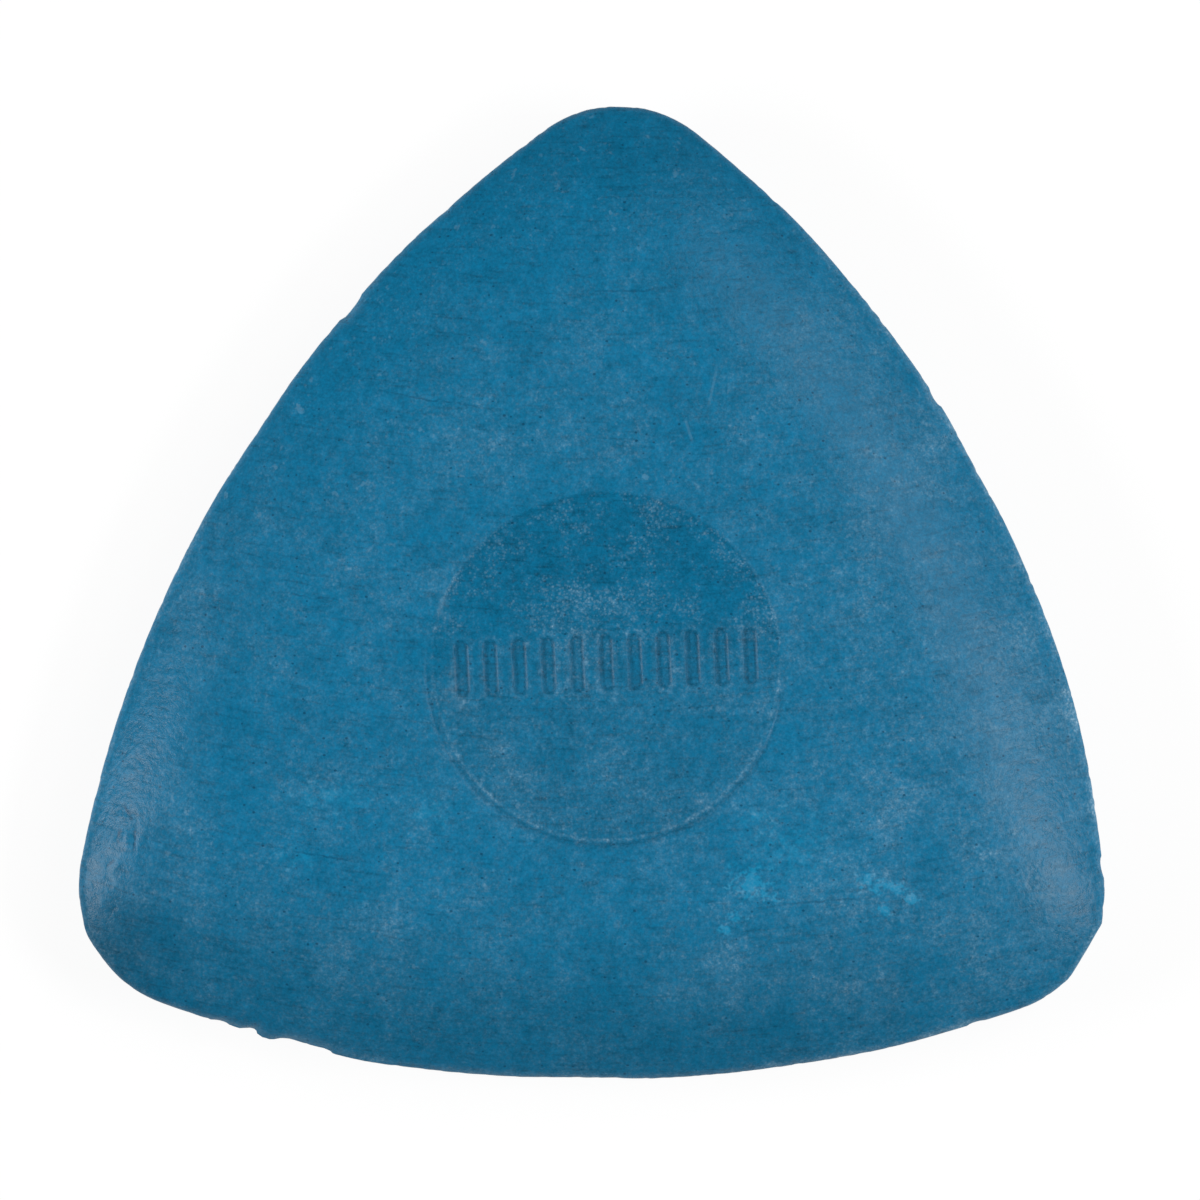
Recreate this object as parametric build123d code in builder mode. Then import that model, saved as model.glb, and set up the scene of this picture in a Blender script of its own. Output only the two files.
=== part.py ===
"""Tailor's chalk: one pressed cake, a rounded triangle in plan, thick in the middle and thin at its edge.

Millimetres, lying flat. +Z is up, and +Y points at the corner above the panel's row of marks.
The origin is under the middle of the cake's box, on the surface that it rests on.
"""

import os
from collections import namedtuple
from math import cos, degrees, radians, sin

from build123d import *

# ---- driving dimensions -------------------------------------------------------------------------

# Each side is an arc round the middle of the press: which way it faces, how far out it stands,
# its radius, and how far in its bevel runs before it meets the flat face.
Side = namedtuple("Side", "bearing reach radius bevel")
right_side = Side(bearing=28.9, reach=20.87, radius=53.4, bevel=9.0)
left_side = Side(bearing=147.0, reach=20.34, radius=57.3, bevel=7.6)
bottom_side = Side(bearing=270.0, reach=20.12, radius=62.8, bevel=8.2)
sides = (right_side, left_side, bottom_side)

corner_radius = 6.1  # in plan, at the rim
face_corner_radius = 7.4  # in plan, where the bevel meets the flat face

thickness = 6.5  # face to face
rim_land = 0.9  # upright band round the edge
bevel_fullness = 2.1  # 1 is a straight bevel, more is a rounder one
bevel_steps = (0.12, 0.3, 0.52, 0.76, 1.0)  # shares of the bevel's width where a section is set

panel_radius = 8.6  # round face of the loose punch that presses the marks
panel_offset = 0.33  # its middle, towards +X of the middle of the press
panel_tilt = 0.85  # degrees: the punch sits askew, sunk on its +Y side and proud on its -Y side
panel_sink = 0.03  # its middle, below the flat face

mark_count = 11  # plain upright bars, sunk in a row across the panel
mark_margin = 1.3  # from each end of the row to the panel's edge
mark_width = 0.6
mark_length = 2.7
mark_depth = 0.16
mark_turn = 2.7  # degrees anticlockwise, of the whole row
mark_rise = 0.26  # middle of the row, towards +Y of the panel's middle

# Corners rubbed flat by use: which way the flat faces, and how far out it is left.
Flat = namedtuple("Flat", "bearing reach")
flats = (Flat(bearing=88.0, reach=27.4), Flat(bearing=-30.3, reach=27.5))

# Chips out of the rim: on which side, how far along it from its middle (anticlockwise),
# how wide the bite is and how deep it goes in.
Chip = namedtuple("Chip", "side along width depth")
chips = (
    Chip(left_side, along=-8.2, width=1.5, depth=0.14),
    Chip(right_side, along=3.6, width=1.0, depth=0.1),
    Chip(right_side, along=-20.9, width=1.0, depth=0.12),
    Chip(bottom_side, along=-18.8, width=0.9, depth=0.13),
    Chip(bottom_side, along=-17.3, width=1.3, depth=0.27),
    Chip(bottom_side, along=-14.5, width=2.9, depth=0.2),
    Chip(bottom_side, along=18.7, width=0.9, depth=0.09),
)

# ---- worked out from them -----------------------------------------------------------------------

half_thickness = thickness / 2
half_land = rim_land / 2
bevel_rise = half_thickness - half_land
mark_pitch = (2 * (panel_radius - mark_margin) - mark_width) / (mark_count - 1)


def toward(bearing, distance):
    """The point that far from the middle of the press, that way."""
    return Vector(distance * cos(radians(bearing)), distance * sin(radians(bearing)))


def arc_centre(side):
    """Where the side's arc is struck from: beyond the middle, across from the edge."""
    return toward(side.bearing, side.reach - side.radius)


def draw_plan(section, step):
    """Draw the plan at a share of the bevel: 0 is the rim and 1 the edge of the flat face."""
    for number, side in enumerate(sides):
        with Locations(arc_centre(side)):
            Circle(side.radius - step * side.bevel, mode=Mode.INTERSECT if number else Mode.ADD)
    fillet(section.vertices(), corner_radius + step * (face_corner_radius - corner_radius))


def bevel_height(step):
    """How high the bevel stands above the rim band, at a share of its width."""
    return bevel_rise * (1 - (1 - step) ** bevel_fullness)


# ---- the cake -----------------------------------------------------------------------------------

with BuildPart() as tailor_chalk:
    # The upper half: the rim band, then the bevel up to the flat face.
    with BuildSketch(Plane.XY) as rim_plan:
        draw_plan(rim_plan, 0)
    extrude(amount=half_land)
    for step in (0, *bevel_steps):
        with BuildSketch(Plane.XY.offset(half_land + bevel_height(step))) as bevel_plan:
            draw_plan(bevel_plan, step)
    loft()

    # The lower half is the same, because both dies have one form.
    mirror(about=Plane.XY)

    # The round panel: the askew punch leaves a disc proud on one side and a step down on the other.
    punch_face = Plane(
        origin=(panel_offset, 0, half_thickness - panel_sink),
        x_dir=(1, 0, 0),
        z_dir=(0, sin(radians(panel_tilt)), cos(radians(panel_tilt))),
    )
    with BuildSketch(punch_face):
        Circle(panel_radius)
    extrude(amount=-half_thickness)
    with BuildSketch(punch_face):
        Circle(panel_radius)
    extrude(amount=half_thickness, mode=Mode.SUBTRACT)

    # Plain sunk bars in a row across the panel.
    with BuildSketch(punch_face):
        with Locations(Location((0, mark_rise, 0), (0, 0, mark_turn))):
            with GridLocations(mark_pitch, 0, mark_count, 1):
                SlotOverall(mark_length, mark_width, rotation=90)
    extrude(amount=-mark_depth, mode=Mode.SUBTRACT)

    # Corners rubbed flat.
    for flat in flats:
        with BuildSketch(Plane(origin=toward(flat.bearing, flat.reach), z_dir=toward(flat.bearing, 1))):
            Rectangle(2 * thickness, 2 * thickness)
        extrude(amount=thickness, mode=Mode.SUBTRACT)

    # Chips: each is an upright round cut, as large as makes its bite that wide and that deep.
    for chip in chips:
        bite_radius = (chip.width**2 / 4 + chip.depth**2) / (2 * chip.depth)
        bearing = chip.side.bearing + degrees(chip.along / chip.side.radius)
        bite_centre = arc_centre(chip.side) + toward(bearing, chip.side.radius + bite_radius - chip.depth)
        with BuildSketch(Plane.XY.offset(-half_thickness)):
            with Locations(bite_centre):
                Circle(bite_radius)
        extrude(amount=thickness, mode=Mode.SUBTRACT)

# Lay it on the surface, with the middle of its box over the origin.
box = tailor_chalk.part.bounding_box()
tailor_chalk.part.position = (-box.center().X, -box.center().Y, half_thickness)

tailor_chalk.part.label = "tailor_chalk"
os.makedirs("parts", exist_ok=True)
export_step(tailor_chalk.part, "parts/tailor_chalk.step")
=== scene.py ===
"""The looks of a tailor's chalk: one cake of blue marking chalk, pressed, chipped and rubbed with use.

The cake lies flat on a pale table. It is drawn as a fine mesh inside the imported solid's box, with its
chips, its worn edge, its askew round panel and the sunk bars as real shape, and finished with one
pressed-chalk material. Lengths are in millimetres until the mesh is written, in metres.
"""

import random
from collections import namedtuple
from functools import reduce
from math import atan2, cos, degrees, hypot, pi, radians, sin, sqrt, tan
from types import SimpleNamespace

import bpy
import numpy as np
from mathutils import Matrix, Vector, noise


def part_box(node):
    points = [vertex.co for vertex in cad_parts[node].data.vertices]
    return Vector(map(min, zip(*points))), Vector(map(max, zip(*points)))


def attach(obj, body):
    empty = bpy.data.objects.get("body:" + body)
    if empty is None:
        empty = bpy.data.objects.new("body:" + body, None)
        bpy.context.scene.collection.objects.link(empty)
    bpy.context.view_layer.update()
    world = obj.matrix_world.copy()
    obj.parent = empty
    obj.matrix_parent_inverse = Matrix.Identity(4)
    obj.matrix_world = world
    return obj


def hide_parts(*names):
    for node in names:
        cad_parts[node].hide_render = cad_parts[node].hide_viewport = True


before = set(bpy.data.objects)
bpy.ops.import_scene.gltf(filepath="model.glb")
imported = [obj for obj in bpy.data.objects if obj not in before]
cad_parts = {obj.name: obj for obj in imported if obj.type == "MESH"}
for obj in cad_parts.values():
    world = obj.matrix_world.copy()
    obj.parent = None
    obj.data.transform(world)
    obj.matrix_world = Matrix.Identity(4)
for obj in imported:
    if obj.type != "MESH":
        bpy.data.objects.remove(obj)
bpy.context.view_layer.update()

MM = 0.001  # metres
NODE = "tailor_chalk"
SLOT = "pressed_chalk"

# ---- the cake's form, as it was pressed ----------------------------------------------------------

# Each side is an arc round the middle of the press: which way it faces, how far out it stands,
# its radius, and how far in its bevel runs.
Side = namedtuple("Side", "bearing reach radius bevel")
right_side = Side(bearing=28.9, reach=20.87, radius=53.4, bevel=9.0)
left_side = Side(bearing=147.0, reach=20.34, radius=57.3, bevel=7.6)
bottom_side = Side(bearing=270.0, reach=20.12, radius=62.8, bevel=8.2)
sides = (right_side, left_side, bottom_side)
corner_bearings = (88.0, 208.5, 329.5)  # each corner follows its side, anticlockwise

corner_radius = 6.1  # in plan, at the rim
face_corner_radius = 7.4  # in plan, where the bevel meets the flat face
rim_land = 0.9  # upright band round the edge
bevel_fullness = 2.1  # 1 is a straight bevel, more is a rounder one
rim_wear = 0.16  # how much the rim's sharp edges have rubbed down
rim_wear_width = 0.16  # how far in from the edge that goes
edge_inset = 0.06  # how far in the rubbed corners of the rim stand from the band's middle

panel_radius = 8.6
panel_offset = 0.33  # its middle, towards +X of the middle of the press
panel_tilt = 0.85  # degrees: sunk on its +Y side and proud on its -Y side
panel_sink = 0.03  # its middle, below the flat face
panel_step = 0.14  # width of the step at the panel's edge
panel_groove = 0.07  # depth of the crease that the punch left round its foot

mark_count = 11  # plain bars, sunk in a row across the panel
mark_margin = 1.3  # from each end of the row to the panel's edge
mark_width = 0.6
mark_length = 2.7
mark_depth = 0.16
mark_wall = 0.16  # width of a bar's sloping wall
mark_turn = 2.7  # degrees anticlockwise, of the whole row
mark_rise = 0.26  # middle of the row, towards +Y of the panel's middle

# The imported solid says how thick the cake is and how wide.
low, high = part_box(NODE)
panel_proud = panel_radius * sin(radians(panel_tilt)) - panel_sink * cos(radians(panel_tilt))
thickness = (high[2] - low[2]) / MM - panel_proud
cake_width = (high[0] - low[0]) / MM
half_thickness = thickness / 2
half_land = rim_land / 2
bevel_rise = half_thickness - half_land
mark_pitch = (2 * (panel_radius - mark_margin) - mark_width) / (mark_count - 1)

# ---- what use has done to its edge ---------------------------------------------------------------

# Corners rubbed flat: which way the flat faces, and how far out it is left.
Flat = namedtuple("Flat", "bearing reach")
flats = (Flat(bearing=88.0, reach=27.4), Flat(bearing=-30.3, reach=27.5))

# Chips: on which side, how far along from its middle (anticlockwise), how wide and how deep the bite
# is, and how far its scar slopes up the bevel.
Chip = namedtuple("Chip", "side along width depth scar")
chips = (
    Chip(left_side, along=-8.2, width=1.5, depth=0.14, scar=0.7),
    Chip(right_side, along=3.6, width=1.0, depth=0.1, scar=0.4),
    Chip(right_side, along=-20.9, width=1.0, depth=0.12, scar=0.5),
    Chip(bottom_side, along=-18.8, width=0.9, depth=0.13, scar=0.5),
    Chip(bottom_side, along=-17.3, width=0.95, depth=0.22, scar=0.8),
    Chip(bottom_side, along=-14.5, width=2.9, depth=0.2, scar=0.9),
    Chip(bottom_side, along=18.7, width=0.9, depth=0.09, scar=0.4),
)

# Slow bulges and hollows of the rim, the hollows with a negative height.
Wave = namedtuple("Wave", "side along width height")
waves = (
    Wave(right_side, along=-24.8, width=4.2, height=0.22),
    Wave(right_side, along=-12.8, width=18.0, height=0.13),
    Wave(right_side, along=-0.5, width=7.0, height=-0.1),
    Wave(right_side, along=14.5, width=8.0, height=0.07),
    Wave(left_side, along=-11.5, width=9.0, height=0.08),
    Wave(left_side, along=-0.5, width=9.0, height=-0.08),
    Wave(left_side, along=26.2, width=3.4, height=0.26),
    Wave(bottom_side, along=-16.4, width=1.7, height=0.2),
    Wave(bottom_side, along=-14.4, width=2.2, height=0.06),
    Wave(bottom_side, along=-12.0, width=7.0, height=0.14),
    Wave(bottom_side, along=-9.0, width=9.0, height=0.08),
    Wave(bottom_side, along=-0.8, width=8.0, height=-0.1),
    Wave(bottom_side, along=14.0, width=9.0, height=0.07),
    Wave(bottom_side, along=25.2, width=4.0, height=0.15),
)

# ---- marks on its face ---------------------------------------------------------------------------

# A patch of colour or dust with a ragged edge: its middle from the middle of the press, and how far
# it reaches along X and along Y.
Patch = namedtuple("Patch", "x y across up")
fresh_scuffs = (  # where the skin is scraped and the bright fresh chalk shows
    Patch(7.4, -10.4, 1.3, 1.3),
    Patch(8.5, -11.2, 0.4, 0.45),
    Patch(6.6, -12.1, 0.6, 0.45),
    Patch(6.15, -12.75, 0.5, 0.35),
    Patch(13.1, -10.5, 1.1, 0.7),
    Patch(14.4, -10.6, 1.1, 0.5),
    Patch(15.1, -11.3, 0.7, 0.3),
    Patch(13.8, -11.7, 0.6, 0.4),
)
faint_scuffs = (
    Patch(9.3, -8.9, 4.6, 3.2),
    Patch(7.6, -7.2, 1.6, 0.9),
    Patch(8.4, -8.5, 1.8, 0.8),
    Patch(-13.1, -6.3, 3.4, 1.3),
    Patch(-8.2, -7.0, 2.2, 1.2),
    Patch(-14.6, -9.2, 1.6, 0.9),
)
dust_clots = (
    Patch(-14.6, 12.6, 0.3, 0.3),
    Patch(-15.8, 9.8, 0.26, 0.2),
    Patch(-18.2, 8.5, 0.2, 0.26),
    Patch(21.5, -10.3, 0.3, 0.26),
    Patch(2.3, 9.3, 0.26, 0.26),
)
dusty_patches = (  # where dust has gathered by the panel's edge
    Patch(-7.1, -1.4, 0.9, 2.3),
    Patch(-7.5, 2.9, 0.7, 1.6),
    Patch(5.1, -6.5, 0.8, 0.4),
    Patch(6.3, -6.9, 1.2, 0.4),
)

# A hairline scratch: its middle, its length, and its bearing.
Hairline = namedtuple("Hairline", "x y length bearing")
dark_hairlines = (
    Hairline(1.2, 18.3, 4.4, 1.0),
    Hairline(2.1, 10.7, 1.4, 1.0),
    Hairline(-13.4, -9.1, 3.6, -9.0),
    Hairline(-8.0, -11.95, 1.9, -9.0),
    Hairline(10.7, -11.3, 4.4, 5.0),
    Hairline(-8.0, 13.0, 5.0, -8.0),
    Hairline(-14.1, 3.5, 3.6, -7.0),
)
crinkles = (  # where the skin of the left bevel has buckled
    Hairline(-22.9, -7.1, 1.1, -62.0),
    Hairline(-22.6, -8.3, 1.3, -93.0),
    Hairline(-23.4, -8.2, 0.9, 80.0),
    Hairline(-23.8, -9.5, 0.6, 45.0),
)
pale_hairlines = (
    Hairline(4.35, 11.5, 1.3, -74.0),
    Hairline(5.5, 13.6, 2.2, 78.0),
)

# ---- how finely it is drawn ----------------------------------------------------------------------

side_points = 78  # along each side of the plan, at fineness 1
corner_points = 15  # round each corner, at fineness 1
rim_fineness = 3
face_fineness = 2
under_fineness = 2
panel_rings = 78
face_rings = 26
bevel_rings = 46
under_bevel_rings = 15
under_face_rings = 14

# ---- where the skin lies on its texture, which is 1 wide and 1 high -------------------------------

unrolled_width = 52.0  # the upper face with the rim band laid out round it, and a little to spare
upper_share = 0.72  # of the texture's width, for the upper face and the rim band
under_share = 0.25  # and for the underside, in the corner that they leave free
upper_middle = np.array([0.37, 0.36])
under_middle = np.array([0.865, 0.86])


# ---- plan and section ----------------------------------------------------------------------------


def toward(bearing, distance):
    """The point that far from the middle of the press, that way."""
    return distance * np.array([cos(radians(bearing)), sin(radians(bearing))])


def arc_centre(side):
    """Where the side's arc is struck from."""
    return toward(side.bearing, side.reach - side.radius)


def rim_spot(mark):
    """The place on the rim that a chip or a wave is named for."""
    bearing = mark.side.bearing + degrees(mark.along / mark.side.radius)
    return arc_centre(mark.side) + toward(bearing, mark.side.radius)


def smooth(low_edge, high_edge, value):
    """0 up to one edge, 1 past the other, and a smooth rise between them."""
    share = np.clip((value - low_edge) / (high_edge - low_edge), 0, 1)
    return share * share * (3 - 2 * share)


def crossing(centre_a, radius_a, centre_b, radius_b, way):
    """Where two circles cross, taking the crossing that lies that way."""
    gap = centre_b - centre_a
    apart = hypot(*gap)
    along = (radius_a**2 - radius_b**2 + apart**2) / (2 * apart)
    off = sqrt(radius_a**2 - along**2)
    base = centre_a + gap * along / apart
    sideways = np.array([-gap[1], gap[0]]) * off / apart
    return max(base + sideways, base - sideways, key=lambda point: point @ way)


def arc(centre, start, end, count):
    """Points along an arc, anticlockwise from its start and without its end."""
    first = atan2(*(start - centre)[::-1])
    turn = (atan2(*(end - centre)[::-1]) - first) % (2 * pi)
    angles = first + turn * np.arange(count) / count
    return centre + hypot(*(start - centre)) * np.column_stack([np.cos(angles), np.sin(angles)])


def plan_loop(share, fineness):
    """The plan at a share of the bevel: 0 is the rim and 1 the edge of the flat face."""
    rounding = corner_radius + share * (face_corner_radius - corner_radius)
    centres = [arc_centre(side) for side in sides]
    reaches = [side.radius - share * side.bevel for side in sides]
    corners = []
    for this, bearing in enumerate(corner_bearings):
        after = (this + 1) % 3
        reach_this, reach_after = reaches[this] - rounding, reaches[after] - rounding
        way = toward(bearing, 1)
        corners.append(crossing(centres[this], reach_this, centres[after], reach_after, way))

    def touch(side, corner):
        """Where a corner's rounding runs into a side."""
        out = corners[corner] - centres[side]
        return centres[side] + out * reaches[side] / hypot(*out)

    loop = []
    for this in range(3):
        after = (this + 1) % 3
        loop.append(arc(centres[this], touch(this, this - 1), touch(this, this), side_points * fineness))
        loop.append(arc(corners[this], touch(this, this), touch(after, this), corner_points * fineness))
    return np.vstack(loop)


def circle_loop(radius, bearings):
    """A circle round the panel's middle, with a point at each bearing."""
    middle = np.array([panel_offset, 0])
    return middle + radius * np.column_stack([np.cos(bearings), np.sin(bearings)])


def bearings_of(loop):
    """Each point's bearing round the panel's middle, rising all the way round the loop."""
    return np.unwrap(np.arctan2(loop[:, 1], loop[:, 0] - panel_offset))


def lumps(points, size, layer, octaves=2):
    """Lumpy noise of about -1 to 1 over plan points; size is a lump's width."""
    fading, narrowing = 1.0, 2.0  # each octave is half as strong and half as wide as the one before

    def lump(x, y):
        return noise.fractal(Vector((x, y, layer)), fading, narrowing, octaves, noise_basis="PERLIN_NEW")

    return np.array([lump(x, y) for x, y in points / size])


def bevel_height(share):
    """How high the bevel stands above the rim band, at a share of its width."""
    return bevel_rise * (1 - (1 - np.clip(share, 0, 1)) ** bevel_fullness)


# ---- wear of the rim -----------------------------------------------------------------------------


def rim_loss(rim, inward):
    """How far in the rim has gone at each of its points: chips, rubbed corners and slow waves."""
    loss = np.zeros(len(rim))
    for wave in waves:
        near = np.clip(np.hypot(*(rim - rim_spot(wave)).T) / (wave.width / 2), 0, 1)
        loss -= wave.height * np.cos(near * pi / 2) ** 2
    for chip in chips:
        near = np.hypot(*(rim - rim_spot(chip)).T) / (chip.width / 2)
        narrowness = 6 * chip.depth / chip.width  # a narrow bite is a notch, a wide one has a flat floor
        loss += chip.depth * np.clip(1 - near**2, 0, 1) ** narrowness
    for flat in flats:
        face = toward(flat.bearing, 1)
        over = np.clip((rim + inward * loss[:, None]) @ face - flat.reach, 0, None)
        loss += over / np.clip(-(inward @ face), 0.3, None)
    return loss


def rim_crumbs(rim, layer):
    """Small bites where the sharp edge has crumbled, in patches."""
    patch_width, bite_width = 4.0, 0.55
    patches = smooth(-0.1, 0.5, lumps(rim, patch_width, layer))
    bites = np.clip(lumps(rim, bite_width, layer + 7, octaves=3) - 0.05, 0, None)
    return bites * (0.05 + 0.16 * patches)


def scar_depth(points, past_rim):
    """How far the bevel is broken down beside each chip. past_rim is how far in each point is."""
    drop = np.zeros(len(points))
    for chip in chips:
        near = np.hypot(*(points - rim_spot(chip)).T) / (chip.width / 2 + chip.scar)
        slope = np.clip(1 - past_rim / chip.scar, 0, 1)
        drop += 1.1 * chip.depth * slope**1.5 * np.clip(1.2 - near, 0, 1)
    return drop


# ---- relief of the upper face --------------------------------------------------------------------


def bar_distance(points):
    """Distance to the edge of the nearest sunk bar, negative inside it."""
    turn = radians(mark_turn)
    x = points[:, 0] - panel_offset
    y = points[:, 1] - mark_rise
    along = x * cos(turn) + y * sin(turn)
    across = y * cos(turn) - x * sin(turn)
    end = (mark_count - 1) / 2
    nearest = np.clip(np.round(along / mark_pitch), -end, end) * mark_pitch
    straight = (mark_length - mark_width) / 2
    return np.hypot(along - nearest, np.clip(np.abs(across) - straight, 0, None)) - mark_width / 2


def panel_relief(points):
    """Height of the askew panel, its crease and its bars, against the flat face."""
    radius = np.hypot(points[:, 0] - panel_offset, points[:, 1])
    punched = -panel_sink - points[:, 1] * tan(radians(panel_tilt))
    softness = 1 + 1.6 * smooth(0.1, 0.8, points[:, 1] / panel_radius)  # a softer step on the sunk side
    inside = smooth(panel_radius + panel_step / 4, panel_radius - panel_step * softness, radius)
    relief = punched * inside
    proud_side = smooth(0.45 * panel_radius, -0.1 * panel_radius, points[:, 1])
    from_crease = (radius - panel_radius - panel_step / 2) / panel_step
    relief -= panel_groove * proud_side * np.exp(-(from_crease**2))
    relief -= mark_depth * smooth(mark_wall / 2, -mark_wall / 2, bar_distance(points))
    return relief


def pitted(points, seed, count, spread):
    """Small round pits left by grit that fell out."""
    dice = random.Random(seed)
    relief = np.zeros(len(points))
    for _ in range(count):
        middle = np.array([dice.uniform(-spread, spread), dice.uniform(-spread, spread)])
        radius = dice.uniform(0.12, 0.34)
        depth = dice.uniform(0.015, 0.05)
        near = np.hypot(*(points - middle).T) / radius
        relief -= depth * np.clip(1 - near**2, 0, 1)
    return relief


def crinkled(points):
    """Narrow hollows with raised sides where the skin of the bevel has buckled."""
    reach, depth, side_height = 0.2, 0.04, 0.03
    relief = np.zeros(len(points))
    for line in crinkles:
        way = toward(line.bearing, 1)
        away = points - np.array([line.x, line.y])
        along = np.abs(away @ way) / (line.length / 2)
        across = np.abs(away @ np.array([-way[1], way[0]])) / reach
        within = np.clip(1.2 - along, 0, 1)
        relief -= depth * np.clip(1 - across, 0, 1) * within
        relief += side_height * np.clip(1 - np.abs(across - 1.6), 0, 1) * within
    return relief


def unevenness(points, layer):
    """The slow and the fine unevenness of a pressed and handled face."""
    return (
        0.035 * lumps(points, 9.0, layer)
        + 0.010 * lumps(points, 2.2, layer + 3)
        + 0.004 * lumps(points, 0.7, layer + 5)
    )


# ---- the mesh ------------------------------------------------------------------------------------


class Shell:
    """A closed skin made of rings, one after another from the top's middle to the underside's."""

    def __init__(self):
        self.rings = []
        self.faces = []
        self.under = []  # for each face, whether it is on the underside
        self.count = 0  # of points so far

    def add(self, loop, heights, push=0, under=False):
        """Add a ring and stitch it to the one before. push is how far out its texture is unrolled."""
        ring = dict(first=self.count, loop=loop, heights=heights, push=push, bearings=bearings_of(loop))
        if self.rings:
            known = len(self.faces)
            self.stitch(self.rings[-1], ring)
            self.under += [under] * (len(self.faces) - known)
        self.rings.append(ring)
        self.count += len(loop)

    def stitch(self, inner, outer):
        """Fill between two rings with quads, or with triangles where their counts differ."""
        inner_count, outer_count = len(inner["loop"]), len(outer["loop"])
        inner_first, outer_first = inner["first"], outer["first"]
        if inner_count == outer_count:
            for this in range(outer_count):
                after = (this + 1) % outer_count
                near_side = (inner_first + after, inner_first + this)
                self.faces.append((outer_first + this, outer_first + after, *near_side))
            return
        turn = 2 * pi
        tie = 1e-9  # radians: bearings this close count as equal, so rounding never picks the triangle
        away = (inner["bearings"] - outer["bearings"][0] + pi) % turn - pi
        start = int(np.argmin(np.abs(away)))
        offset = round((outer["bearings"][0] - inner["bearings"][start]) / turn) * turn

        def bearing(ring, count, spot):
            """The bearing of a point counted on round the ring, past its end too."""
            return ring["bearings"][spot % count] + turn * (spot // count)

        inner_goal = inner_count if inner_count > 1 else 0
        outer_goal = outer_count if outer_count > 1 else 0
        outer_done, inner_done = 0, 0
        while outer_done < outer_goal or inner_done < inner_goal:
            far = outer_first + outer_done % outer_count
            near = inner_first + (start + inner_done) % inner_count
            next_far = bearing(outer, outer_count, outer_done + 1)
            next_near = bearing(inner, inner_count, start + inner_done + 1) + offset
            outer_is_next = outer_done < outer_goal and next_far <= next_near + tie
            if inner_done == inner_goal or outer_is_next:
                self.faces.append((far, outer_first + (outer_done + 1) % outer_count, near))
                outer_done += 1
            else:
                self.faces.append((far, inner_first + (start + inner_done + 1) % inner_count, near))
                inner_done += 1


class Rim:
    """The worn rim in plan: which way is in from it, and how much is gone above and below."""

    def __init__(self):
        self.loop = plan_loop(0, rim_fineness)
        inward = plan_loop(0.3, rim_fineness) - self.loop
        self.inward = inward / np.hypot(*inward.T)[:, None]
        self.bevel_width = np.hypot(*(plan_loop(1, rim_fineness) - self.loop).T)
        loss = rim_loss(self.loop, self.inward)
        self.lost_above = loss + rim_crumbs(self.loop, 11.0)
        self.lost_below = loss + rim_crumbs(self.loop, 37.0)

    def bevel_ring(self, share, lost, fineness=rim_fineness, pick=slice(None)):
        """A ring at a share of the bevel: its points, and how far each stands from the flat face.

        pick says which of the rim's points each point of the ring stands in from.
        """
        fade_width = 3.0  # how far in from the rim its wear dies away
        loop = plan_loop(share, fineness)
        past = np.hypot(*(loop - self.loop[pick]).T)
        shift = (lost[pick] + edge_inset) * np.clip(1 - past / fade_width, 0, 1)
        loop = loop + self.inward[pick] * shift[:, None]
        drop = bevel_height((past + shift) / self.bevel_width[pick]) - bevel_rise
        drop -= rim_wear * np.exp(-past / rim_wear_width)
        drop -= scar_depth(loop, past)
        return loop, drop


def add_panel(shell):
    """The round panel, from its middle out, as rings of six points more each time."""
    shell.add(np.array([[panel_offset, 0.0]]), np.zeros(1))
    inner_edge = panel_radius - panel_step
    for ring in range(1, panel_rings + 1):
        count = 6 * ring
        turns = np.arange(count) * 2 * pi / count
        shell.add(circle_loop(inner_edge * ring / panel_rings, turns), np.zeros(count))


def add_face(shell):
    """The step and crease at the panel's edge, then the flat face out to the bevel."""
    face_edge = plan_loop(1, face_fineness)
    turns = bearings_of(face_edge)
    level = np.zeros(len(turns))
    for out in (-0.5, 0.0, 0.5, 1.0, 1.6):
        shell.add(circle_loop(panel_radius + out * panel_step, turns), level)
    around = circle_loop(panel_radius + 2.3 * panel_step, turns)
    for ring in range(face_rings):
        share = ring / face_rings
        shell.add(around + share * (face_edge - around), level)


def add_bevel(shell, rim):
    """The bevel, from the face out to the rim, its rings closer towards it. Gives the last of them."""
    for ring in range(bevel_rings + 1):
        share = (1 - ring / bevel_rings) ** 1.3
        loop, drop = rim.bevel_ring(share, rim.lost_above)
        shell.add(loop, drop)
    return loop, drop


def add_band(shell, rim, upper_edge, upper_drop):
    """The upright band, from its upper edge to its lower one, bulging and slightly ragged."""
    lower_edge, lower_drop = rim.bevel_ring(0, rim.lost_below)
    top = half_thickness + upper_drop
    foot = -half_thickness - lower_drop
    for share in (0.12, 0.32, 0.5, 0.68, 0.88):
        bulge = edge_inset * (1 - (2 * share - 1) ** 4)
        loop = upper_edge + share * (lower_edge - upper_edge) - rim.inward * bulge
        ragged = 0.015 * lumps(loop, 0.8, 50 + 4 * share)
        loop = loop + rim.inward * ragged[:, None]
        heights = top + share * (foot - top) - half_thickness
        shell.add(loop, heights, share * rim_land)
    shell.add(lower_edge, foot - half_thickness, rim_land)


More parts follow.
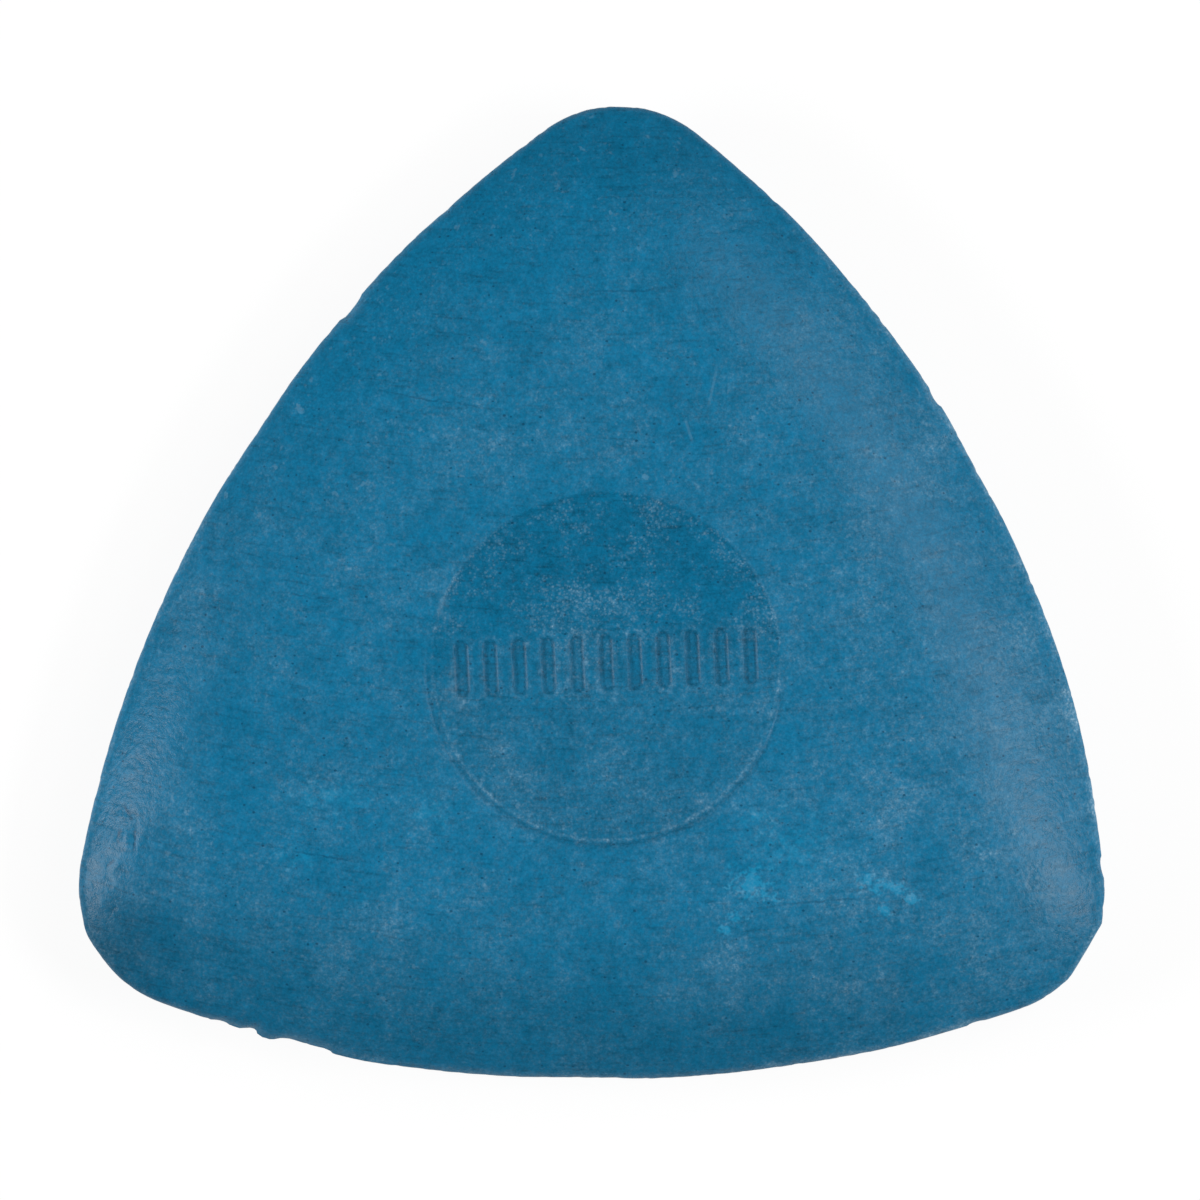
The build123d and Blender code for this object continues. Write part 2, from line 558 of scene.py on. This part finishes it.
def add_underside(shell, rim):
    """The underside: the same bevel and a plain flat face, drawn more coarsely."""
    coarse_rim = plan_loop(0, under_fineness)
    nearest = [np.argmin(np.hypot(*(rim.loop - point).T)) for point in coarse_rim]
    for ring in range(1, under_bevel_rings + 1):
        share = (ring / under_bevel_rings) ** 1.15
        loop, drop = rim.bevel_ring(share, rim.lost_below, under_fineness, nearest)
        shell.add(loop, -thickness - drop, under=True)
    face_edge = plan_loop(1, 1)
    middle = np.array([panel_offset, 0.0])
    for ring in range(1, under_face_rings + 1):
        share = ring / under_face_rings * 0.95  # the last ring stops short of the middle point
        loop = face_edge + share * (middle - face_edge)
        shell.add(loop, np.full(len(loop), -thickness), under=True)
    shell.add(middle[None], np.array([-thickness]), under=True)


def press_cake():
    """The whole cake's skin, in millimetres round the middle of the press, its flat face at zero."""
    shell = Shell()
    rim = Rim()
    add_panel(shell)
    add_face(shell)
    upper_edge, upper_drop = add_bevel(shell, rim)
    add_band(shell, rim, upper_edge, upper_drop)
    add_underside(shell, rim)
    return shell


def finish_relief(points, drops):
    """Lay the panel, the pits and the unevenness into the upper face and bevel."""
    upper = drops > -bevel_rise - 0.5
    above = points[upper]
    fade = smooth(-bevel_rise - 0.2, -bevel_rise + 0.5, drops[upper])
    pits = pitted(above, seed=5, count=170, spread=25)
    drops[upper] += panel_relief(above)
    drops[upper] += fade * (unevenness(above, 2.0) + pits + crinkled(above))


def texture_places(shell, points):
    """Where each face corner lies on the unrolled texture: the top large, the underside small beside it."""
    push = np.concatenate([np.full(len(ring["loop"]), ring["push"]) for ring in shell.rings])
    outward = points / np.maximum(np.hypot(*points.T), 1e-6)[:, None]
    top = (points + outward * push[:, None]) * upper_share / unrolled_width + upper_middle
    bottom = points * under_share / unrolled_width * np.array([-1, 1]) + under_middle
    corners = [(bottom if under else top)[list(face)] for face, under in zip(shell.faces, shell.under)]
    return np.concatenate(corners)


def make_cake():
    """The cake as an object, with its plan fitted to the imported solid's box.

    Gives the object, and the middle and the scale of that fit.
    """
    shell = press_cake()
    points = np.concatenate([ring["loop"] for ring in shell.rings])
    drops = np.concatenate([ring["heights"] for ring in shell.rings])
    finish_relief(points, drops)
    lowest, highest = points.min(0), points.max(0)
    scale = cake_width / (highest[0] - lowest[0])
    middle = (lowest + highest) / 2
    plan = (points - middle) * scale
    places = np.column_stack([plan, thickness + drops]) * MM
    mesh = bpy.data.meshes.new("chalk_cake")
    mesh.from_pydata(places.tolist(), [], shell.faces)
    mesh.polygons.foreach_set("use_smooth", [True] * len(mesh.polygons))
    layer = mesh.uv_layers.new(name="OFBake")
    layer.data.foreach_set("uv", texture_places(shell, plan).ravel())
    mesh.validate()
    mesh.update()
    cake = bpy.data.objects.new("chalk_cake", mesh)
    bpy.context.scene.collection.objects.link(cake)
    return cake, middle, scale


# ---- shader maths --------------------------------------------------------------------------------


class Signal:
    """A shader socket that takes part in sums, so that a mask is written as maths."""

    def __init__(self, graph, socket):
        self.graph = graph
        self.socket = socket

    def maths(self, operation, *values):
        """A Math node on those values."""
        return self.graph.add("ShaderNodeMath", dict(operation=operation), dict(enumerate(values)))

    def __add__(self, other):
        return self.maths("ADD", self, other)

    __radd__ = __add__

    def __sub__(self, other):
        return self.maths("SUBTRACT", self, other)

    def __rsub__(self, other):
        return self.maths("SUBTRACT", other, self)

    def __mul__(self, other):
        return self.maths("MULTIPLY", self, other)

    __rmul__ = __mul__

    def __abs__(self):
        return self.maths("ABSOLUTE", self)

    def root(self):
        return self.maths("SQRT", self)

    def exponent(self):
        return self.maths("EXPONENT", self)

    def rounded(self):
        return self.maths("ROUND", self)

    def least(self, other):
        return self.maths("MINIMUM", self, other)

    def most(self, other):
        return self.maths("MAXIMUM", self, other)

    def rise(self, low_edge, high_edge):
        """0 up to one edge, 1 past the other, and a smooth rise between them."""
        edges = {"From Min": low_edge, "From Max": high_edge}
        return self.graph.add(
            "ShaderNodeMapRange", dict(interpolation_type="SMOOTHSTEP"), {"Value": self, **edges}
        )

    def also(self, output):
        """Another output of the same node."""
        return Signal(self.graph, self.socket.node.outputs[output])


def length(across, up):
    """How long an arrow in plan is."""
    return (across * across + up * up).root()


def distance(x, y, spot):
    """Distance in plan from a spot."""
    return length(x - spot[0], y - spot[1])


class Graph:
    """The nodes of one material, or of the world."""

    def __init__(self, owner):
        owner.use_nodes = True
        self.tree = owner.node_tree
        self.tree.nodes.clear()

    def add(self, kind, settings=None, inputs=None, output=0):
        """Add a node: its settings first, then the values or links of its sockets. Gives one output."""
        node = self.tree.nodes.new(kind)
        for name, value in (settings or {}).items():
            setattr(node, name, value)
        for name, value in (inputs or {}).items():
            socket = node.inputs[name]
            if isinstance(value, Signal):
                self.tree.links.new(value.socket, socket)
            else:
                socket.default_value = value
        return Signal(self, node.outputs[output]) if node.outputs else None

    def mix(self, share, low_colour, high_colour):
        """A colour between two colours."""
        return self.add(
            "ShaderNodeMix",
            dict(data_type="RGBA", clamp_factor=True),
            {0: share, 6: low_colour, 7: high_colour},  # by number, because its sockets share names
            output=2,
        )

    def noise(self, places, size, detail, roughness):
        """Lumpy noise of 0 to 1, about 0.5, with lumps of that size."""
        return self.add(
            "ShaderNodeTexNoise",
            dict(noise_dimensions="3D"),
            {"Vector": places, "Scale": 1 / size, "Detail": detail, "Roughness": roughness},
        )

    def stretched(self, places, shares, shift):
        """Places squeezed along each axis and moved, so that a pattern is drawn out or differs."""
        return self.add(
            "ShaderNodeVectorMath", dict(operation="MULTIPLY_ADD"), {0: places, 1: shares, 2: shift}
        )

    def scaled(self, vector, times):
        """A colour or place made that many times as large."""
        return self.add("ShaderNodeVectorMath", dict(operation="SCALE"), {0: vector, "Scale": times})

    def dots(self, places, pitch, radius, kept, dimensions):
        """Round dots: one at most in each cell of that pitch, in a share of the cells."""
        away = self.add(
            "ShaderNodeTexVoronoi",
            dict(feature="F1", voronoi_dimensions=dimensions),
            {"Vector": places, "Scale": 1 / pitch},
        )
        chance = self.add("ShaderNodeSeparateColor", {}, {0: away.also("Color")})
        size = (0.45 + 0.55 * chance.also("Green")) * (radius / pitch)
        return (size - away).rise(0, 0.4 * radius / pitch) * (kept - chance).rise(0, 0.02)


def screen_colour(red, green, blue):
    """A colour written as 0 to 255 on a screen, as the shader wants it."""

    def straight(part):
        part /= 255
        return part / 12.92 if part <= 0.04045 else ((part + 0.055) / 1.055) ** 2.4

    return (straight(red), straight(green), straight(blue), 1.0)


# ---- the finish ----------------------------------------------------------------------------------

dyed_clay = screen_colour(5, 100, 137)
fresh_chalk = screen_colour(14, 136, 178)
pale_dust_and_highlight = screen_colour(132, 168, 190)
dark_pore_and_shade = screen_colour(8, 48, 74)
black = (0.0, 0.0, 0.0, 1.0)
white = (1.0, 1.0, 1.0, 1.0)
paper_white = (0.95, 0.95, 0.95, 1.0)


def patch_mask(x, y, patches, ragged, softness):
    """Patches whose edges follow the ragged noise."""
    nearness = [
        1 - length((x - patch.x) * (1 / patch.across), (y - patch.y) * (1 / patch.up)) for patch in patches
    ]
    return (reduce(Signal.most, nearness) + (ragged - 0.5) * 3.2).rise(0.25, 0.25 + softness)


def hairline_mask(x, y, hairlines, wander, width):
    """Scratches that wander a little from a straight line and thin out at their ends."""
    strayed = y + (wander - 0.5) * 0.3
    masks = []
    for line in hairlines:
        turn = radians(line.bearing)
        middle_along = line.x * cos(turn) + line.y * sin(turn)
        middle_across = line.y * cos(turn) - line.x * sin(turn)
        along = x * cos(turn) + y * sin(turn) - middle_along
        across = strayed * cos(turn) - x * sin(turn) - middle_across
        within = 1 - abs(along).rise(line.length * 0.25, line.length * 0.55)
        masks.append((1 - abs(across).rise(width * 0.3, width)) * within)
    return reduce(Signal.most, masks)


def bar_gap(x, y):
    """Distance to the edge of the nearest sunk bar, negative inside it."""
    turn = radians(mark_turn)
    across_panel, up_panel = x - panel_offset, y - mark_rise
    along = across_panel * cos(turn) + up_panel * sin(turn)
    across = up_panel * cos(turn) - across_panel * sin(turn)
    end = (mark_count - 1) / 2
    nearest = (along * (1 / mark_pitch)).rounded().most(-end).least(end) * mark_pitch
    straight = (mark_length - mark_width) / 2
    return length(along - nearest, (abs(across) - straight).most(0)) - mark_width / 2


def landmarks(graph, middle, scale):
    """Where a place is on the cake: its millimetres as pressed, and masks of the cake's features."""
    places = graph.scaled(graph.add("ShaderNodeTexCoord", output="Object"), 1 / MM)
    parts = graph.add("ShaderNodeSeparateXYZ", {}, {0: places})
    x = parts + middle[0] * scale
    y = parts.also("Y") + middle[1] * scale
    z = parts.also("Z")
    at = SimpleNamespace(places=places, x=x, y=y)

    # The upper side, the worn rim, and distances in from the sides and the upper corner.
    band_foot, band_top = half_thickness - half_land, half_thickness + half_land
    at.upper = z.rise(band_top, band_top + 1)
    at.edge = z.rise(band_foot - 0.3, band_foot) * (1 - z.rise(band_top, band_top + 0.3))
    at.in_from_bottom = bottom_side.radius - distance(x, y, arc_centre(bottom_side))
    at.in_from_left = left_side.radius - distance(x, y, arc_centre(left_side))
    at.in_from_corner = flats[0].reach - y

    # The panel, its sunk and proud sides, its lip and the crease round it.
    from_panel = distance(x, y, (panel_offset, 0))
    lower_side = 1 - y.rise(-3.0, 4.0)
    at.panel = (1 - from_panel.rise(panel_radius - 0.2, panel_radius + 0.05)) * at.upper
    at.sunk = at.panel * y.rise(-2.5, 5.5)
    at.proud = at.panel * (1 - y.rise(-6.0, 1.5))
    from_lip = from_panel - panel_radius + 0.05 + lower_side * 0.2
    at.lip = (1 - abs(from_lip).rise(0.02, 0.15)) * at.upper * (1 - y.rise(5.0, 8.0))
    from_crease = from_panel - panel_radius - 0.06
    at.crease = (1 - abs(from_crease).rise(0.02, 0.16)) * at.upper * lower_side

    # The bars' floors, walls and lips, which take painted shade and a painted highlight.
    gap = bar_gap(x, y)
    at.bars = (1 - gap.rise(-0.1, 0.04)) * at.panel
    at.bar_walls = (1 - abs(gap + 0.04).rise(0.0, 0.14)) * at.panel
    at.bar_lips = (1 - abs(gap - 0.17).rise(0.0, 0.17)) * at.panel
    return at


def dye_tone_and_shade(graph, at, grain, mottle):
    """How much lighter or darker the dye is: grain, mottling, slow clouds and streaks swept in arcs, a
    darker panel with darker sunk and proud sides, and painted shade on the bars' floors and walls and in
    the crease round the panel.
    """
    clouds = graph.noise(at.places, 2.6, 1.0, 0.7)
    swept = graph.add("ShaderNodeCombineXYZ", {}, {0: at.x * 0.11, 1: at.y - at.x * at.x * 0.0055})
    streaks = graph.noise(swept, 0.24, 1.0, 0.7)
    return (
        (grain - 0.5) * 0.75 + (mottle - 0.5) * 0.48 + (clouds - 0.5) * 0.25
        - (streaks - 0.56).rise(0, 0.14) * 0.16
        - at.sunk * 0.1 - at.panel * 0.05 - at.proud * 0.06
        # painted shade: the bars' floors and walls and the crease round the panel are darkened
        - at.bars * 0.05 - at.bar_walls * 0.12 - at.crease * 0.16
    )


def scrape_share(at, ragged):
    """How far fresh bright chalk shows where the skin was scraped."""
    fresh = patch_mask(at.x, at.y, fresh_scuffs, ragged, 0.6)
    faint = patch_mask(at.x, at.y, faint_scuffs, ragged, 1.3)
    return (fresh * 0.65).most(faint * 0.45)


def dust_and_painted_light(graph, at, mottle, ragged):
    """Pale dust, thinner and thicker at every size, heavier on what stands proud; with it a painted
    highlight on the panel's lip and the bars' lips, and painted shade as less dust in the bars, towards the
    upper corner and on the upper left bevel.
    """
    x, y = at.x, at.y
    dust_places = graph.stretched(at.places, (1, 1, 1), (31, 17, 5))
    fine_dust = graph.noise(dust_places, 0.17, 1.0, 0.9)
    small_dust = graph.noise(dust_places, 0.65, 1.0, 0.9)
    broad_dust = graph.noise(dust_places, 3.2, 1.0, 0.75)
    unevenly = (fine_dust - 0.5) * 4.2 + (small_dust - 0.5) * 2.7 + (broad_dust - 0.5) * 2.8
    # painted shade: less pale dust towards the upper corner and on the upper left bevel
    painted_shade_up_left = y.rise(15.0, 26.0).most((1 - at.in_from_left.rise(1.0, 6.0)) * y.rise(5.0, 15.0))
    more = (
        x.rise(2.0, 18.0) * 0.5 + (1 - y.rise(-14.0, 3.0)) * at.in_from_bottom.rise(2.0, 8.0) * 0.25
        # painted highlight on the panel's lip and the bars' lips; painted shade as less dust in the bars
        + at.proud * 0.1 - at.sunk * 0.85 + at.edge * 0.9 + at.lip * 0.9
        + at.bar_lips * 0.6 - at.bars * 0.6 - painted_shade_up_left * 1.3 + unevenly * (1 + at.sunk * 0.9)
    )
    clots = patch_mask(x, y, dust_clots, ragged, 0.4)
    gathered = patch_mask(x, y, dusty_patches, ragged, 1.2)
    flecks = ragged.rise(0.61, 0.74) * broad_dust.rise(0.36, 0.56)
    dusty = (small_dust + broad_dust).rise(0.82, 1.12)
    dots = graph.dots(at.places, pitch=0.2, radius=0.085, kept=0.8, dimensions="2D")
    speckle = dots * dusty * at.upper
    pale_lines = hairline_mask(x, y, pale_hairlines, mottle, 0.1)
    return (
        0.038 * more.exponent() + clots * 0.16 + gathered * 0.13 + flecks * 0.15
        + speckle * (0.04 + at.sunk * 0.12) + pale_lines * 0.1
    )


def painted_shade_share(at):
    """Painted shade: how far the bottom bevel, the upper corner and the left corner are darkened."""
    return (
        0.22 * (1 - at.in_from_bottom.rise(2.0, 9.0)) * (1 - at.x.rise(8.0, 22.0) * 0.6)
        + 0.14 * (1 - at.in_from_corner.rise(1.5, 6.5))
        + 0.2 * (1 - at.x.rise(-24.5, -18.5)) * (1 - at.y.rise(-14.0, -10.0))
    )


def pit_and_crinkle_shade(graph, at, mottle, ragged):
    """How dark the pores and the hairline scratches are, and the painted shade along the crinkles."""
    pore_places = graph.stretched(at.places, (0.8, 1, 1), (2, 17, 0))
    pores = graph.dots(pore_places, pitch=0.4, radius=0.08, kept=0.55, dimensions="3D") * 0.6
    scratches = hairline_mask(at.x, at.y, dark_hairlines, mottle, 0.08) * mottle.rise(0.35, 0.6) * 0.4
    # painted shade along the crinkles' hollows
    crinkle_shade = hairline_mask(at.x, at.y, crinkles, mottle, 0.11) * ragged.rise(0.3, 0.6) * 0.6
    return pores.most(scratches).most(crinkle_shade)


def pressed_chalk(middle, scale):
    """Blue pressed chalk: dyed clay with a waxy sheen, grain, pale dust, dark pores and bright scuffs, and
    painted shade and painted highlight on its bevels, panel and bars.
    """
    material = bpy.data.materials.new(SLOT)
    graph = Graph(material)
    at = landmarks(graph, middle, scale)
    grain = graph.noise(at.places, 0.15, 1.0, 0.9)
    mottle = graph.noise(at.places, 0.6, 1.0, 0.9)
    ragged = graph.noise(at.places, 0.5, 2.0, 0.75)
    dust_and_light = dust_and_painted_light(graph, at, mottle, ragged)

    dye = graph.scaled(dyed_clay[:3], 1 + dye_tone_and_shade(graph, at, grain, mottle))
    dye = graph.mix(scrape_share(at, ragged), dye, fresh_chalk)
    # pale dust, with a painted highlight on the lips and painted shade where the dust thins
    dye = graph.mix(dust_and_light, dye, pale_dust_and_highlight)
    # painted shade on the bottom bevel, the upper corner and the left corner
    dye = graph.mix(painted_shade_share(at), dye, black)
    # dark pores and scratches, and painted shade along the crinkles
    dye = graph.mix(pit_and_crinkle_shade(graph, at, mottle, ragged), dye, dark_pore_and_shade)

    height = (grain - 0.5) * 0.012 + (mottle - 0.5) * 0.03
    bump = graph.add("ShaderNodeBump", {}, {"Strength": 1.0, "Distance": MM, "Height": height})
    rough = 0.28 + (mottle - 0.5) * 0.16 + dust_and_light * 0.3 + (at.bars + at.bar_lips) * 0.4
    skin = graph.add(
        "ShaderNodeBsdfPrincipled",
        {},
        {"Base Color": dye, "Roughness": rough, "Normal": bump, "Specular IOR Level": 0.09},
    )
    graph.add("ShaderNodeOutputMaterial", {}, {0: skin})
    return material


def pale_table():
    """The table's finish: plain and near white to the eye, and still taking the cake's shadow."""
    material = bpy.data.materials.new("pale_table")
    graph = Graph(material)
    paper = graph.add("ShaderNodeBsdfDiffuse", {}, {"Color": paper_white})
    plain = graph.add("ShaderNodeEmission", {}, {"Color": white, "Strength": 1.0})
    ray = graph.add("ShaderNodeLightPath")
    seen = ray.most(ray.also("Is Glossy Ray")).most(ray.also("Is Transmission Ray"))
    place = graph.add("ShaderNodeTexCoord", output="Object")
    away = graph.add("ShaderNodeVectorMath", dict(operation="LENGTH"), {0: place}, output="Value")
    whiter = 0.92 + 0.08 * away.rise(0.05, 0.3)  # plain white beyond the cake's shadow
    mixed = graph.add("ShaderNodeMixShader", {}, {0: seen * whiter, 1: paper, 2: plain})
    graph.add("ShaderNodeOutputMaterial", {}, {0: mixed})
    return material


# ---- the studio, in metres, degrees and watts ----------------------------------------------------


def lay_table():
    """A plain pale table top, a hair below the cake so that their faces don't meet."""
    reach = 1.5
    mesh = bpy.data.meshes.new("table_top")
    corners = [(-reach, -reach, 0), (reach, -reach, 0), (reach, reach, 0), (-reach, reach, 0)]
    mesh.from_pydata(corners, [], [(0, 1, 2, 3)])
    mesh.materials.append(pale_table())
    table = bpy.data.objects.new("table_top", mesh)
    table.location.z = -0.01 * MM
    bpy.context.scene.collection.objects.link(table)


def hang_lamp(name, bearing, elevation, distance, size, power):
    """A soft lamp, facing the cake from that bearing and elevation."""
    data = bpy.data.lights.new(name, "AREA")
    data.shape = "RECTANGLE"
    data.size, data.size_y = size
    data.energy = power
    lamp = bpy.data.objects.new(name, data)
    level = cos(radians(elevation))
    out = Vector((level * cos(radians(bearing)), level * sin(radians(bearing)), sin(radians(elevation))))
    lamp.location = out * distance
    lamp.rotation_euler = out.to_track_quat("Z", "Y").to_euler()
    lamp.visible_camera = False
    bpy.context.scene.collection.objects.link(lamp)


def light_room():
    """Dim even light from all round, white behind the table where the eye sees it."""
    world = bpy.data.worlds.new("studio")
    graph = Graph(world)
    dim = graph.add("ShaderNodeBackground", {}, {"Color": white, "Strength": 0.2})
    plain = graph.add("ShaderNodeBackground", {}, {"Color": white, "Strength": 1.0})
    seen = graph.add("ShaderNodeLightPath", output="Is Camera Ray")
    mixed = graph.add("ShaderNodeMixShader", {}, {0: seen, 1: dim, 2: plain})
    graph.add("ShaderNodeOutputWorld", {}, {0: mixed})
    bpy.context.scene.world = world


def place_camera():
    """The camera looks straight down on the cake, a little off its middle."""
    height = 0.45
    view_width = 58.6 * MM  # what the camera sees across, at mid-height of the cake
    data = bpy.data.cameras.new("camera")
    data.sensor_width = 36.0
    data.lens = data.sensor_width * (height - thickness / 2 * MM) / view_width
    data.clip_start = 0.01
    camera = bpy.data.objects.new("camera", data)
    camera.location = (0.405 * MM, -0.36 * MM, height)
    bpy.context.scene.collection.objects.link(camera)
    bpy.context.scene.camera = camera


cake, middle, scale = make_cake()
cake.data.materials.append(pressed_chalk(middle, scale))
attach(cake, "root")
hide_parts(NODE)

lay_table()
hang_lamp("left_lamp", bearing=183, elevation=28.5, distance=0.6, size=(0.26, 0.1), power=2.6)
hang_lamp("right_lamp", bearing=-8, elevation=41, distance=0.6, size=(0.24, 0.1), power=2.0)
hang_lamp("right_upper_lamp", bearing=28, elevation=50, distance=0.6, size=(0.36, 0.26), power=1.2)
light_room()
place_camera()
bpy.context.scene.view_settings.view_transform = "Standard"
